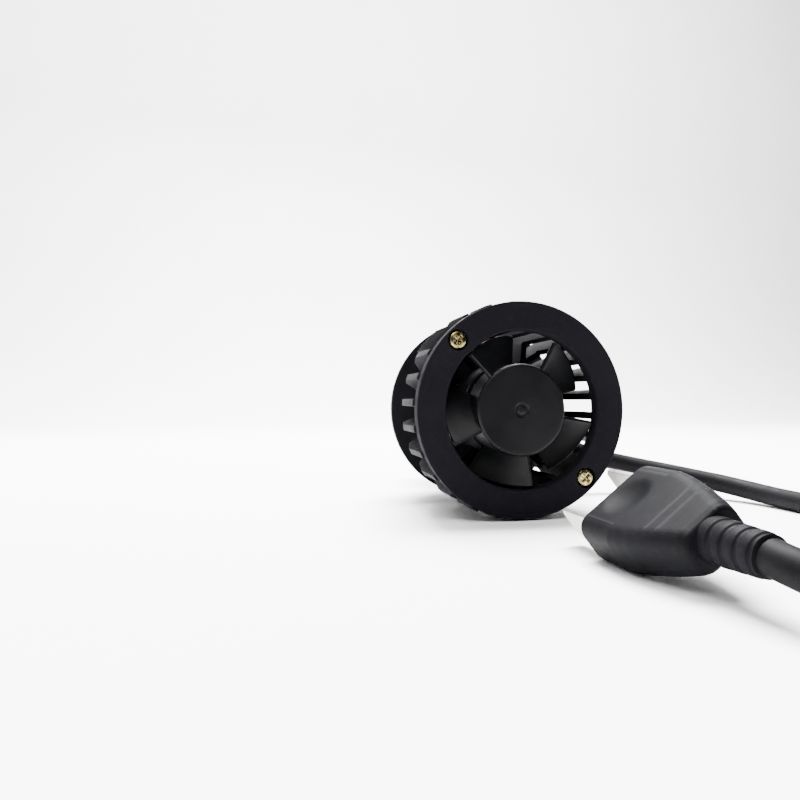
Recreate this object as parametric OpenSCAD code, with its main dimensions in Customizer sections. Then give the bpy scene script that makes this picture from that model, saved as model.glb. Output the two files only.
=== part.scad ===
// Fan-cooled LED headlight bulb with its supply cord and two-blade plug.
// The bulb lies on its side on z = 0 with its axis along +Y, fan end towards -Y.

/* [Fan cover] */
// Outer diameter of the cover ring
ring_d = 46; // [42:0.5:50]
// Diameter of the air inlet in the cover ring
inlet_d = 33.8; // [33.4:0.1:34.4]
// Thickness of the cover ring
ring_t = 2.8; // [2:0.1:3.2]

/* [Heatsink] */
// Diameter over the vane tips
vane_d = 46.8; // [46:0.1:50]
// Number of places round the heatsink for a vane or a screw boss
vane_slots = 26; // [22:2:30]
// Thickness of a vane
vane_t = 1.5; // [1:0.1:1.8]
// Axial distance from the fan face to the far end of the vanes
vane_end = 31; // [30:0.5:31]

/* [Driver housing] */
// Diameter of the driver housing
housing_d = 41.2; // [41:0.2:43]
// Axial distance from the fan face to the front of the driver housing
housing_end = 41; // [40.5:0.1:41.2]

/* [Fan] */
// Number of blades on the impeller
blade_count = 5; // [3:1:7]
// Diameter over the blade tips
rotor_d = 32.8; // [31:0.2:33]
// Diameter of the rotor hub
hub_d = 19.8; // [19.6:0.1:20]
// Angle that one blade turns through from its near edge to its far edge
blade_twist = 47; // [30:1:52]

/* [Lamp] */
// Diameter of the collar flange that seats in the lamp
flange_d = 33; // [31:0.5:36]
// Diameter of the collar spigot that centres the bulb in the reflector
spigot_d = 26; // [26:0.1:26.4]
// Length of the whole bulb along its axis, without the cord
bulb_len = 80; // [79:0.5:84]
// Distance from the flange seat to the middle of the light-emitting chips
light_centre = 25; // [23:0.5:26]

/* [Cord] */
// Diameter of the supply cord
cord_d = 4.6; // [4.4:0.1:4.8]

/* [Hidden] */
$fn = 96;
eps = 0.01;

// Fan cover and its screws
ring_r = ring_d / 2;
inlet_r = inlet_d / 2;
ring_chamfer = 0.15;
inlet_chamfer = 0.3;
screw_circle_r = 20.4;
boss_phi = 134.4;
screw_phis = [boss_phi, boss_phi - 180];
screw_head_r = 2;
screw_head_h = 1.2;
screw_head_z = 0.1;
screw_shank_r = 1;
screw_len = 9;
screw_pocket_r = 2.2;
screw_clearance_r = 1.2;
cross_w = 0.6;
cross_l = 2.3;
cross_h = 0.8;

// Heatsink: vanes in pairs on short stems, round a solid core
vane_r = vane_d / 2;
slot_pitch = 360 / vane_slots;
pocket_r = 17.1;
pocket_end = 16.5;
core_start = 10;
core_r = 10.5;
fork_r = 13.2;
prong_r = 16.6;
stem_w = 1.8;
rib_w = 4;
boss_half = 7.7;
boss_offset = 2.7;
vane_corner_z = 20;
vane_corner_r = 21.9;
vane_far_r = 19.2;
plate_r = 22.3;
plate_end = 32.6;
bore_r = 4.55;
bore_start = 22;
lead_hole_r = 1.1;
lead_hole_place = 8.4;
tap_r = 0.8;

// Driver housing with its neck
housing_r = housing_d / 2;
housing_wall = 1.6;
housing_round = 1.4;
neck_r = 14;
neck_end = 45;
boss_r = 10;
boss_end = 50.7;
lug_r = 11.4;
lug_z0 = 48.3;
lug_z1 = 50.1;
lug_half = 14;
seal_z = 43;
seal_r = 1.1;
seal_groove_r = 12.9;
stem_bore_r = 4.65;
housing_screw_r = 17.2;
housing_screw_phis = [30, 120, 210, 300];
housing_head_r = 1.9;
housing_head_h = 0.9;
housing_shank_r = 0.7;
housing_screw_end = 31.3;
pillar_r = 2;

// Fan motor
rotor_r = rotor_d / 2;
hub_r = hub_d / 2;
hub_face = 0.8;
hub_end = 8.2;
hub_wall = 0.8;
hub_top = 1;
blade_start = 1.7;
blade_end = 8.6;
blade_t = 1.2;
shaft_r = 0.95;
shaft_start = 1.9;
shaft_end = 9.35;
yoke_r = hub_r - hub_wall;
yoke_t = 0.4;
magnet_t = 0.9;
magnet_start = 2.6;
magnet_end = 7.6;
tube_r = 3.1;
sleeve_r = 2.1;
sleeve_start = 3;
sleeve_end = 8.3;
sleeve_play = 0.02;
stator_r = 7.1;
stator_start = 4;
stator_end = 6.2;
coil_h = 0.9;
pcb_start = 7.9;
pcb_end = 8.5;
pcb_r = 8.4;
base_start = 8.8;
base_end = 10;
base_r = 10.4;

// Driver electronics
board_start = 33.4;
board_end = 34.6;
board_r = 15;
board_bore_r = 5.4;

// Lamp stem and its chips
stem_shank_r = 4.5;
stem_start = 22;
stem_flat_start = 52.7;
stem_flat_w = 10;
stem_flat_t = 3.2;
stem_foot_r = 8;
flange_seat = 46.3;
chip_z = flange_seat + light_centre;
led_board_w = 8.4;
led_board_t = 0.4;
led_board_z0 = 54.7;
led_board_z1 = bulb_len - 2.5;
chip_count = 5;
chip_size = 1.3;
chip_pitch = 1.5;
chip_h = 0.35;
face_phi = 69;

// Collar
collar_web_z0 = 45.1;
collar_web_z1 = 48.2;
collar_bore_r = 10.15;
collar_slot_r = 11.6;
collar_slot_half = 17;
collar_slot_phi = 60;
spigot_r = spigot_d / 2;
spigot_end = 50.1;
flange_r = flange_d / 2;
key_phi = 159;
key_w = 6;
key_depth = 2.2;
grip_count = 3;
grip_r = 1.5;

// Cord outlet, cord and plug
outlet_phi = -21;
outlet_z = 36;
outlet_r = 3;
grommet_neck_r = 2.9;
grommet_head_r = 4.4;
grommet_flange_r = 3.25;
grommet_inner = 17.2;
grommet_end = 29.2;
cord_r = cord_d / 2;
cord_sides = 10;
plug_x = 4.1;
plug_roll = 38;
plug_face_y = -72;
plug_w = 16.5;
plug_t = 8.5;
plug_edge_r = 2.5;
plug_len = 22;
plug_z = (plug_w / 2 - plug_edge_r) * sin(plug_roll)
       + (plug_t / 2 - plug_edge_r) * cos(plug_roll) + plug_edge_r + 0.02;
thumb_r = 9;
thumb_depth = 0.9;
thumb_back = 5;
relief_len = 9;
blade_pitch = 10.7;
blade_w = 6.3;
blade_thick = 0.8;
blade_len = 10;
blade_root = 6;

// Route of the cord's centre line, from the grommet to the plug's relief
cord_route = [
  [27.26, -4, 12.94], [31.5, -4, 11.3], [36.5, -4.4, 9.7], [42, -6, 8.4], [47.5, -9, 7.2],
  [52.8, -13, 6.1], [57.6, -17.6, 5], [61.4, -22.4, 4.1], [63.8, -27.8, 3.3], [65, -33.8, 2.7],
  [65.4, -40, 2.4], [65.5, -49, 2.3], [65.5, -61, 2.3], [65.5, -75, 2.3], [65.5, -89, 2.3],
  [65.3, -99, 2.3], [63.4, -109, 2.3], [58.6, -118, 2.3], [51.5, -125, 2.3], [43, -129, 2.3],
  [34, -129.8, 2.3], [25, -128, 2.4], [17, -123.8, 2.9], [10.4, -118, 4.1],
  [6.2, -111.6, 5.7], [4.4, -106.6, 6.9], [4.1, -103, 7.44]];

// Places a shape of the bulb: its own Z is the distance from the fan face along the axis
module bulb() translate([0, -bulb_len / 2, vane_r]) rotate([-90, 0, 0]) children();

// Turns a shape about the bulb's axis, anticlockwise as seen from the fan end
module turned(phi) rotate([0, 0, -phi]) children();

// Tube with flat ends from z0 to z1
module tube(ro, ri, z0, z1) {
  difference() {
    translate([0, 0, z0]) cylinder(r = ro, h = z1 - z0);
    translate([0, 0, z0 - 1]) cylinder(r = ri, h = z1 - z0 + 2);
  }
}

// Sector of a ring, as a flat outline
module sector(ro, ri, half) {
  intersection() {
    difference() {
      circle(r = ro);
      circle(r = ri);
    }
    polygon([[0, 0], [2 * ro * cos(half), -2 * ro * sin(half)], [3 * ro, 0],
             [2 * ro * cos(half), 2 * ro * sin(half)]]);
  }
}

// Cross-recessed screw with its head at z = 0 and its shank along +Z
module screw(head_r, head_h, shank_r, len) {
  difference() {
    rotate_extrude() polygon([
      [0, 0], [head_r * 0.72, 0], [head_r, head_h * 0.4], [head_r, head_h],
      [shank_r, head_h], [shank_r, len - shank_r], [0, len]]);
    translate([-cross_l / 2, -cross_w / 2, -eps]) cube([cross_l, cross_w, cross_h]);
    translate([-cross_w / 2, -cross_l / 2, -eps]) cube([cross_w, cross_l, cross_h]);
  }
}

module fan_cover_ring() {
  color([0.11, 0.11, 0.13]) bulb() difference() {
    rotate_extrude() polygon([
      [inlet_r + inlet_chamfer, 0], [ring_r - ring_chamfer, 0], [ring_r, ring_chamfer],
      [ring_r, ring_t], [inlet_r, ring_t], [inlet_r, inlet_chamfer]]);
    for (phi = screw_phis) turned(phi) translate([screw_circle_r, 0, 0]) {
      translate([0, 0, -1]) cylinder(r = screw_clearance_r, h = ring_t + 2, $fn = 48);
      translate([0, 0, -1]) cylinder(r = screw_pocket_r, h = screw_head_z + screw_head_h + 1, $fn = 48);
    }
  }
}

module cover_screws() {
  color([0.72, 0.68, 0.52]) bulb() for (phi = screw_phis)
    turned(phi) translate([screw_circle_r, 0, screw_head_z])
      screw(screw_head_r, screw_head_h, screw_shank_r, screw_len, $fn = 48);
}

// One curved blade: near edge at angle 0, running clockwise as it goes deeper
module blade() {
  slice = [[hub_r - 0.6, -blade_t / 2], [rotor_r, -blade_t / 2], [rotor_r, blade_t / 2],
           [hub_r - 0.6, blade_t / 2]];
  translate([0, 0, blade_start])
    linear_extrude(height = blade_end - blade_start, twist = -blade_twist, slices = 10, $fn = 12)
      polygon(slice);
}

module impeller() {
  blade_phi0 = -10;
  color([0.09, 0.09, 0.10]) bulb() {
    difference() {
      rotate_extrude() polygon([
        [0, hub_face + 0.2], [0.7, hub_face + 0.2], [0.9, hub_face + 0.45],
        [1.5, hub_face + 0.45], [1.7, hub_face], [hub_r - 0.4, hub_face],
        [hub_r, hub_face + 0.4], [hub_r, hub_end], [hub_r - hub_wall, hub_end],
        [hub_r - hub_wall, hub_face + hub_top + 0.3], [2.2, hub_face + hub_top + 0.3],
        [2.2, shaft_start + 0.9], [shaft_r, shaft_start + 0.9], [shaft_r, shaft_start],
        [0, shaft_start]]);
    }
    for (i = [0 : blade_count - 1]) turned(blade_phi0 + i * 360 / blade_count) blade();
  }
}

module rotor_shaft() {
  groove_z = shaft_end - 0.55;
  color([0.8, 0.8, 0.82]) bulb() difference() {
    translate([0, 0, shaft_start]) cylinder(r = shaft_r, h = shaft_end - shaft_start, $fn = 48);
    tube(2, 0.6, groove_z, groove_z + 0.3);
  }
}

module rotor_yoke() {
  color([0.6, 0.61, 0.63]) bulb()
    tube(yoke_r, yoke_r - yoke_t, hub_face + hub_top + 0.3, hub_end - 0.2);
}

module magnet_ring() {
  color([0.25, 0.24, 0.24]) bulb()
    tube(yoke_r - yoke_t, yoke_r - yoke_t - magnet_t, magnet_start, magnet_end);
}

module bearing_sleeve() {
  color([0.72, 0.52, 0.3]) bulb()
    tube(sleeve_r, shaft_r + sleeve_play, sleeve_start, sleeve_end, $fn = 48);
}

// Four-pole stack: a hub ring with four arms that end in curved shoes
module stator_core() {
  arm_w = 2.2;
  shoe_half = 34;
  color([0.5, 0.5, 0.52]) bulb() translate([0, 0, stator_start])
    linear_extrude(height = stator_end - stator_start) difference() {
      union() {
        circle(r = tube_r + 0.9);
        for (a = [0 : 90 : 270]) rotate(a) {
          translate([0, -arm_w / 2]) square([stator_r - 0.8, arm_w]);
          sector(stator_r, stator_r - 1, shoe_half);
        }
      }
      circle(r = tube_r);
    }
}

// Copper windings on the four arms, each a block with the arm's slot through it
module stator_coils() {
  coil_r0 = 4.2;
  coil_r1 = 5.8;
  coil_w = 3.4;
  arm_w = 2.2;
  color([0.76, 0.42, 0.2]) bulb() for (a = [0 : 90 : 270]) rotate([0, 0, a]) difference() {
    translate([coil_r0, -coil_w / 2, stator_start - coil_h])
      cube([coil_r1 - coil_r0, coil_w, stator_end - stator_start + 2 * coil_h]);
    translate([coil_r0 - 1, -arm_w / 2, stator_start])
      cube([coil_r1 - coil_r0 + 2, arm_w, stator_end - stator_start]);
  }
}

module fan_pcb() {
  color([0.1, 0.35, 0.2]) bulb() tube(pcb_r, tube_r + 0.1, pcb_start, pcb_end);
}

// Plate that carries the motor, with the tube that holds the bearing
module fan_base() {
  color([0.13, 0.13, 0.14]) bulb() difference() {
    union() {
      translate([0, 0, base_start]) cylinder(r = base_r, h = base_end - base_start);
      translate([0, 0, sleeve_start]) cylinder(r = tube_r, h = base_start - sleeve_start + eps);
      tube(tube_r + 1, tube_r - 0.5, pcb_end, base_start + eps);
    }
    translate([0, 0, sleeve_start - 1]) cylinder(r = sleeve_r, h = sleeve_end - sleeve_start + 1);
    translate([0, 0, sleeve_end - eps]) cylinder(r = 1.8, h = base_end - sleeve_end - 0.3);
    turned(60) translate([lead_hole_place, 0, base_start - 1]) cylinder(r = lead_hole_r, h = 4, $fn = 32);
  }
}

module shaft_clip() {
  clip_z = shaft_end - 0.53;
  color([0.85, 0.85, 0.8]) bulb() difference() {
    tube(1.5, 0.62, clip_z, clip_z + 0.25, $fn = 48);
    translate([0, -0.35, clip_z - 1]) cube([3, 0.7, 2]);
  }
}

// Two thin wires from the fan's circuit board down to the driver board
module fan_leads() {
  wire_r = 0.4;
  color([0.6, 0.1, 0.1]) bulb() turned(60) for (s = [-1, 1])
    translate([lead_hole_place, s * 0.45, pcb_end]) cylinder(r = wire_r, h = board_start - pcb_end, $fn = 16);
}

// Outline of a pair of vanes on one stem, pointing along +X
module vane_pair() {
  half = slot_pitch / 2;
  translate([core_r - 1, -stem_w / 2]) square([fork_r - core_r + 1.4, stem_w]);
  for (s = [-1, 1]) {
    a = s * half;
    root = [fork_r, 0];
    knee = [prong_r * cos(a), prong_r * sin(a)];
    side = [-sin(a), cos(a)] * vane_t / 2;
    polygon(s > 0 ? [root + [0, -0.2], knee - side, knee + side, root + [-0.4, 0.9]]
                  : [root + [0, 0.2], root + [-0.4, -0.9], knee - side, knee + side]);
    rotate(a) translate([prong_r - 0.3, -vane_t / 2]) square([vane_r + 1 - prong_r, vane_t]);
  }
}

module heatsink() {
  pairs = (vane_slots - 2) / 4;
  color([0.13, 0.13, 0.14]) bulb() difference() {
    union() {
      intersection() {
        translate([0, 0, ring_t]) linear_extrude(height = vane_end - ring_t + eps) {
          for (phi = screw_phis, k = [0 : pairs - 1])
            turned(phi + (2 * k + 1.5) * slot_pitch) vane_pair();
          for (phi = screw_phis) turned(phi)
            translate([core_r - 1, -rib_w / 2]) square([pocket_r - core_r + 2, rib_w]);
        }
        rotate_extrude() polygon([
          [pocket_r, ring_t], [vane_r, ring_t], [vane_r, vane_corner_z - 3.2],
          [vane_r - 0.6, vane_corner_z - 1.7], [vane_corner_r, vane_corner_z],
          [vane_far_r, vane_end + 1], [0, vane_end + 1], [0, pocket_end], [pocket_r, pocket_end]]);
      }
      intersection() {
        translate([0, 0, ring_t]) linear_extrude(height = vane_corner_z - ring_t)
          for (phi = screw_phis) turned(phi + boss_offset) sector(vane_r + 1, pocket_r, boss_half);
        rotate_extrude() polygon([
          [0, ring_t], [vane_r, ring_t], [vane_r, vane_corner_z - 3.2],
          [vane_r - 0.6, vane_corner_z - 1.7], [vane_corner_r, vane_corner_z + 1], [0, vane_corner_z + 1]]);
      }
      translate([0, 0, core_start]) cylinder(r = core_r, h = vane_end - core_start + eps);
      translate([0, 0, vane_end]) cylinder(r = plate_r, h = plate_end - vane_end);
    }
    translate([0, 0, bore_start]) cylinder(r = bore_r, h = plate_end);
    turned(60) translate([lead_hole_place, 0, 0]) cylinder(r = lead_hole_r, h = plate_end + 1, $fn = 32);
    for (phi = screw_phis) turned(phi) translate([screw_circle_r, 0, -1])
      cylinder(r = screw_shank_r + 0.05, h = screw_len + 2.5, $fn = 48);
    for (phi = housing_screw_phis) turned(phi) translate([housing_screw_r, 0, housing_screw_end - 0.4])
      cylinder(r = tap_r, h = 5, $fn = 32);
    turned(outlet_phi) translate([0, 0, outlet_z]) rotate([0, 90, 0]) translate([0, 0, housing_r - 0.2])
      cylinder(r = grommet_head_r + 0.2, h = plate_r - housing_r + 1, $fn = 48);
  }
}

// Shell over the driver board, with the neck that carries the collar
module driver_housing() {
  color([0.12, 0.12, 0.13]) bulb() difference() {
    union() {
      rotate_extrude() polygon(concat(
        [[0, plate_end], [housing_r, plate_end]],
        [for (a = [0 : 15 : 90]) [housing_r - housing_round * (1 - cos(a)),
                                  housing_end - housing_round * (1 - sin(a))]],
        [[neck_r, housing_end], [neck_r, neck_end], [boss_r, neck_end], [boss_r, boss_end], [0, boss_end]]));
      for (k = [0 : 2]) turned(key_phi + 120 * k) translate([0, 0, lug_z0])
        linear_extrude(height = lug_z1 - lug_z0) sector(lug_r, boss_r - 0.5, lug_half);
    }
    difference() {
      translate([0, 0, plate_end - 1]) cylinder(r = housing_r - housing_wall, h = housing_end - housing_wall - plate_end + 1);
      for (phi = housing_screw_phis) turned(phi) translate([housing_screw_r, 0, plate_end])
        cylinder(r = pillar_r, h = housing_end - plate_end, $fn = 32);
    }
    translate([0, 0, plate_end - 1]) cylinder(r = stem_bore_r, h = boss_end, $fn = 64);
    translate([0, 0, housing_end - housing_wall - 1]) cylinder(r = 7, h = 5);
    for (phi = housing_screw_phis) turned(phi) translate([housing_screw_r, 0, plate_end - 1]) {
      cylinder(r = housing_shank_r + 0.1, h = housing_end, $fn = 32);
      translate([0, 0, housing_end - housing_head_h - plate_end + 0.9]) cylinder(r = housing_head_r + 0.2, h = 5, $fn = 32);
    }
    turned(outlet_phi) translate([0, 0, outlet_z]) rotate([0, 90, 0]) cylinder(r = outlet_r, h = 2 * housing_r, $fn = 48);
    translate([0, 0, seal_z]) rotate_extrude() translate([seal_groove_r + seal_r, 0]) circle(r = seal_r, $fn = 32);
  }
}

module neck_seal() {
  color([0.55, 0.2, 0.16]) bulb() translate([0, 0, seal_z]) rotate_extrude()
    translate([seal_groove_r + seal_r, 0]) circle(r = seal_r - 0.02, $fn = 32);
}

module housing_screws() {
  color([0.5, 0.5, 0.52]) bulb() for (phi = housing_screw_phis)
    turned(phi) translate([housing_screw_r, 0, housing_end - 0.1]) rotate([180, 0, 0])
      screw(housing_head_r, housing_head_h, housing_shank_r, housing_end - 0.1 - housing_screw_end, $fn = 32);
}

module driver_board() {
  color([0.1, 0.4, 0.22]) bulb() tube(board_r, board_bore_r, board_start, board_end);
}

module driver_inductor() {
  color([0.3, 0.3, 0.32]) bulb() turned(95) translate([10.8, 0, board_end]) {
    difference() {
      cylinder(r = 3.8, h = 4.4, $fn = 48);
      tube(5, 2.9, 0.8, 3.6, $fn = 48);
    }
  }
}

module driver_capacitors() {
  color([0.2, 0.22, 0.5]) bulb() for (phi = [150, 190])
    turned(phi) translate([11.4, 0, board_end]) cylinder(r = 2.5, h = 4.6, $fn = 48);
}

module driver_chips() {
  color([0.07, 0.07, 0.08]) bulb() for (phi = [10, 45, 235, 280])
    turned(phi) translate([8.4, -2, board_end]) cube([4.8, 4, 1.4]);
}

// Pairs of wires from the driver board to the two light boards, inside the neck
module driver_leads() {
  wire_r = 0.45;
  color([0.75, 0.72, 0.6]) bulb() for (s = [0, 180], d = [-0.6, 0.6])
    turned(face_phi + s) translate([6, d, board_end]) cylinder(r = wire_r, h = 6, $fn = 16);
}

// Round shank that is seated in the core, a foot, and the flat bar that carries the boards
module lamp_stem() {
  tip_r = 1.2;
  color([0.75, 0.76, 0.78]) bulb() turned(face_phi) {
    translate([0, 0, stem_start]) cylinder(r = stem_shank_r, h = boss_end - stem_start);
    translate([0, 0, boss_end]) cylinder(r = stem_foot_r, h = stem_flat_start - boss_end);
    difference() {
      translate([-stem_flat_t / 2, -stem_flat_w / 2, stem_flat_start - eps])
        cube([stem_flat_t, stem_flat_w, bulb_len - stem_flat_start]);
      for (s = [-1, 1]) translate([-5, s * stem_flat_w / 2, bulb_len]) rotate([0, 90, 0])
        cylinder(r = tip_r, h = 10, $fn = 4);
    }
  }
}

module led_boards() {
  color([0.8, 0.5, 0.28]) bulb() for (s = [0, 180]) turned(face_phi + s)
    translate([stem_flat_t / 2, -led_board_w / 2, led_board_z0])
      cube([led_board_t, led_board_w, led_board_z1 - led_board_z0]);
}

module led_chips() {
  color([0.95, 0.85, 0.25]) bulb() for (s = [0, 180], i = [0 : chip_count - 1]) turned(face_phi + s)
    translate([stem_flat_t / 2 + led_board_t, -chip_size / 2,
               chip_z + (i - (chip_count - 1) / 2) * chip_pitch - chip_size / 2])
      cube([chip_h, chip_size, chip_size]);
}

// Collar that stays in the lamp: keyed flange, spigot and three bayonet slots
module mounting_collar() {
  color([0.7, 0.71, 0.73]) bulb() difference() {
    union() {
      translate([0, 0, collar_web_z0]) cylinder(r = flange_r, h = flange_seat - collar_web_z0);
      translate([0, 0, collar_web_z0]) cylinder(r = spigot_r, h = spigot_end - collar_web_z0);
    }
    translate([0, 0, collar_web_z0 - 1]) cylinder(r = collar_bore_r, h = 10);
    translate([0, 0, collar_web_z1]) cylinder(r = collar_slot_r + 0.1, h = 5);
    for (k = [0 : 2]) turned(key_phi + collar_slot_phi + 120 * k)
      translate([0, 0, collar_web_z0 - 1]) linear_extrude(height = 10)
        sector(collar_slot_r, collar_bore_r - 1, collar_slot_half);
    turned(key_phi) translate([flange_r - key_depth, -key_w / 2, collar_web_z0 - 1]) cube([key_depth + 1, key_w, 3]);
    for (k = [0 : grip_count - 1]) turned(key_phi + 90 + k * 90) translate([flange_r, 0, collar_web_z0 - 1])
      cylinder(r = grip_r, h = 3, $fn = 32);
  }
}

module cable_grommet() {
  color([0.1, 0.1, 0.11]) bulb() turned(outlet_phi) translate([0, 0, outlet_z]) rotate([0, 90, 0])
    difference() {
      rotate_extrude() polygon([
        [0, grommet_inner], [grommet_flange_r, grommet_inner], [grommet_flange_r, grommet_inner + 1.4],
        [grommet_neck_r, grommet_inner + 1.4], [grommet_neck_r, housing_r + 0.1],
        [grommet_head_r, housing_r + 0.4], [grommet_head_r - 0.2, housing_r + 1.6],
        [cord_r + 0.5, grommet_end], [0, grommet_end]]);
    }
}

function unit(v) = v / norm(v);

// Direction of the cord at point i of its route: square to the grommet and to the plug's relief
function route_dir(i) =
  i == 0 ? [cos(outlet_phi), 0, sin(outlet_phi)] :
  i == len(cord_route) - 1 ? [0, 1, 0] : unit(cord_route[i + 1] - cord_route[i - 1]);

// Ring of points round the cord at point i of its route
function ring_points(i) =
  let (d = route_dir(i), side = unit(cross(d, [0, 0, 1])), up = cross(side, d))
  [for (k = [0 : cord_sides - 1]) cord_route[i]
    + cord_r * (cos(360 * k / cord_sides) * side + sin(360 * k / cord_sides) * up)];

module supply_cord() {
  rings = len(cord_route);
  points = [for (i = [0 : rings - 1]) each ring_points(i)];
  walls = [for (i = [0 : rings - 2], k = [0 : cord_sides - 1])
    let (a = i * cord_sides + k, b = i * cord_sides + (k + 1) % cord_sides)
    [a, b, b + cord_sides, a + cord_sides]];
  start_cap = [for (k = [cord_sides - 1 : -1 : 0]) k];
  end_cap = [for (k = [0 : cord_sides - 1]) (rings - 1) * cord_sides + k];
  color([0.1, 0.1, 0.11]) polyhedron(points = points, faces = concat(walls, [start_cap, end_cap]));
}

// Places a shape of the plug: its own Z points back from the blade face along the cord
module plug() translate([plug_x, plug_face_y, plug_z]) rotate([90, 0, 0]) rotate([0, 0, plug_roll]) children();

// Slab of the plug's body: rounded rectangle w by t, from z0 to z0 + h
module plug_slab(w, t, r, z0, h) {
  translate([0, 0, z0]) hull() for (x = [-1, 1], y = [-1, 1])
    translate([x * (w / 2 - r), y * (t / 2 - r), 0]) cylinder(r = r, h = h, $fn = 32);
}

module plug_body() {
  color([0.21, 0.21, 0.23]) plug() difference() {
    hull() {
      plug_slab(plug_w, plug_t, plug_edge_r, 0.6, 8);
      plug_slab(plug_w - 1.4, plug_t - 1.2, plug_edge_r - 0.4, 0, 8);
      plug_slab(plug_w - 4, plug_t - 0.6, plug_edge_r, 16, 1);
      plug_slab(plug_w - 7, plug_t - 1.6, plug_edge_r, plug_len - 1, 1);
    }
    for (s = [-1, 1]) translate([0, s * (plug_t / 2 + thumb_r - thumb_depth), thumb_back]) sphere(r = thumb_r);
    for (s = [-1, 1]) translate([s * blade_pitch / 2 - blade_thick / 2, -blade_w / 2, -eps])
      cube([blade_thick, blade_w, blade_root]);
  }
}

module plug_relief() {
  color([0.21, 0.21, 0.23]) plug() translate([0, 0, plug_len])
    cylinder(r1 = 3.2, r2 = cord_r + 0.45, h = relief_len, $fn = 48);
}

// Two flat tabs with bevelled tips
module plug_blades() {
  tip = 1;
  color([0.86, 0.86, 0.84]) plug() for (s = [-1, 1])
    translate([s * blade_pitch / 2 + blade_thick / 2, 0, 0]) rotate([0, -90, 0])
      linear_extrude(height = blade_thick) polygon([
        [blade_root, -blade_w / 2], [tip - blade_len, -blade_w / 2],
        [-blade_len, tip - blade_w / 2], [-blade_len, blade_w / 2 - tip],
        [tip - blade_len, blade_w / 2], [blade_root, blade_w / 2]]);
}

fan_cover_ring();
cover_screws();
impeller();
rotor_shaft();
magnet_ring();
rotor_yoke();
bearing_sleeve();
stator_core();
stator_coils();
fan_pcb();
fan_base();
shaft_clip();
fan_leads();
heatsink();
driver_housing();
housing_screws();
driver_board();
driver_inductor();
driver_capacitors();
driver_chips();
driver_leads();
lamp_stem();
led_boards();
led_chips();
neck_seal();
mounting_collar();
cable_grommet();
supply_cord();
plug_relief();
plug_body();
plug_blades();
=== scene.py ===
import math

import bmesh
import bpy
from mathutils import Matrix, Vector


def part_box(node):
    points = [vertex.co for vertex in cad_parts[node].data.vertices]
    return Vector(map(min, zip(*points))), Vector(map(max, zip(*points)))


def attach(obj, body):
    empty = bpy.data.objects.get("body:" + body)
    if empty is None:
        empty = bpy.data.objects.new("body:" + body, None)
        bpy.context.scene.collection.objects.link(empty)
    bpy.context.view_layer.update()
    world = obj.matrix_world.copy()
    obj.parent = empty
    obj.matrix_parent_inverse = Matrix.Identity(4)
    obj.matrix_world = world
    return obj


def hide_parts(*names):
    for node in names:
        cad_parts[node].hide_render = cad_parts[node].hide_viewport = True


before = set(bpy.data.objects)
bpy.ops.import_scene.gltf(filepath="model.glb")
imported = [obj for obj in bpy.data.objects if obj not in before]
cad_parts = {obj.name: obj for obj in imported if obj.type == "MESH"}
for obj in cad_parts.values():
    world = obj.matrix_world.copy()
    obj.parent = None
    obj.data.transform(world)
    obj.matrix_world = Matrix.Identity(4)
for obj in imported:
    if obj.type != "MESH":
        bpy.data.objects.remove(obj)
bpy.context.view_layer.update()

# Shapes are drawn in millimetres and placed in metres
MM = 0.001

# Places taken from the frame
ring_low, ring_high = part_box("fan_cover_ring")
relief_low, relief_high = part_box("plug_relief")
FAN_FACE = ring_low.y
AXIS_Z = (ring_low.z + ring_high.z) / 2
RING_R = (ring_high.x - ring_low.x) / 2 / MM
PLUG_LEN = 22
PLUG_ROLL = 38
PLUG_PLACE = Vector(((relief_low.x + relief_high.x) / 2, relief_high.y + PLUG_LEN * MM,
                     (relief_low.z + relief_high.z) / 2))

# Fan cover, its screws and the fan
INLET_R = 16.9
RING_T = 2.8
SCREW_PHIS = (134.4, -45.6)
SCREW_CIRCLE_R = 20.4
SCREW_POCKET_R = 2.2
HUB_R = 9.9
HUB_FACE = 0.8
BLADE_COUNT = 5
BLADE_TIP_R = 16.4
BLADE_START = 1.7
BLADE_END = 8.6
BLADE_TWIST = 47
BLADE_PHI = -10

# Heatsink
VANE_R = 23.4
VANE_END = 31
VANE_CORNER_T = 20
VANE_FAR_R = 19.2
VANE_SLOTS = 26
SLOT_PITCH = 360 / VANE_SLOTS
POCKET_R = 17.1
POCKET_END = 16.5
CORE_START = 10
CORE_R = 10.5
FORK_R = 13.2
PRONG_R = 16.6
VANE_T = 1.5
STEM_W = 1.8
BOSS_HALF = 7.7
BOSS_OFFSET = 2.7
PLATE_R = 22.3
PLATE_END = 32.6
CORE_BORE_R = 4.7
CORE_BORE_START = 22.1
TAP_R = 1.1
TAP_END = 11

# Outer edge of the vanes behind their straight part, as (radius, distance) points
VANE_SLOPE = ((VANE_R, VANE_CORNER_T - 3.2), (VANE_R - 0.6, VANE_CORNER_T - 1.7),
              (VANE_R - 1.5, VANE_CORNER_T), (VANE_FAR_R, VANE_END + 1))

# Driver housing
HOUSING_R = 20.6
HOUSING_END = 41
HOUSING_WALL = 1.6
HOUSING_BORE_R = 4.65
NECK_R = 14
NECK_END = 45
NECK_BOSS_R = 10
NECK_BOSS_END = 50.7
SEAL_T = 43
HOUSING_SCREW_R = 17.2
HOUSING_SCREW_PHIS = (30, 120, 210, 300)
LUG_PHIS = (159, 279, 399)
LUG_HALF = 14
LUG_R = 11.4
LUG_START = 48.3
LUG_END = 50.1
OUTLET_PHI = -21
OUTLET_T = 36
OUTLET_R = 3
GLAND_R = 4.6
GROMMET_END = 29.2

# Cord and plug
CORD_D = 4.6
PLUG_W = 16.5
PLUG_T = 8.5
RELIEF_LEN = 9
THUMB_R = 9
THUMB_DEPTH = 0.9
THUMB_BACK = 5

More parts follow.
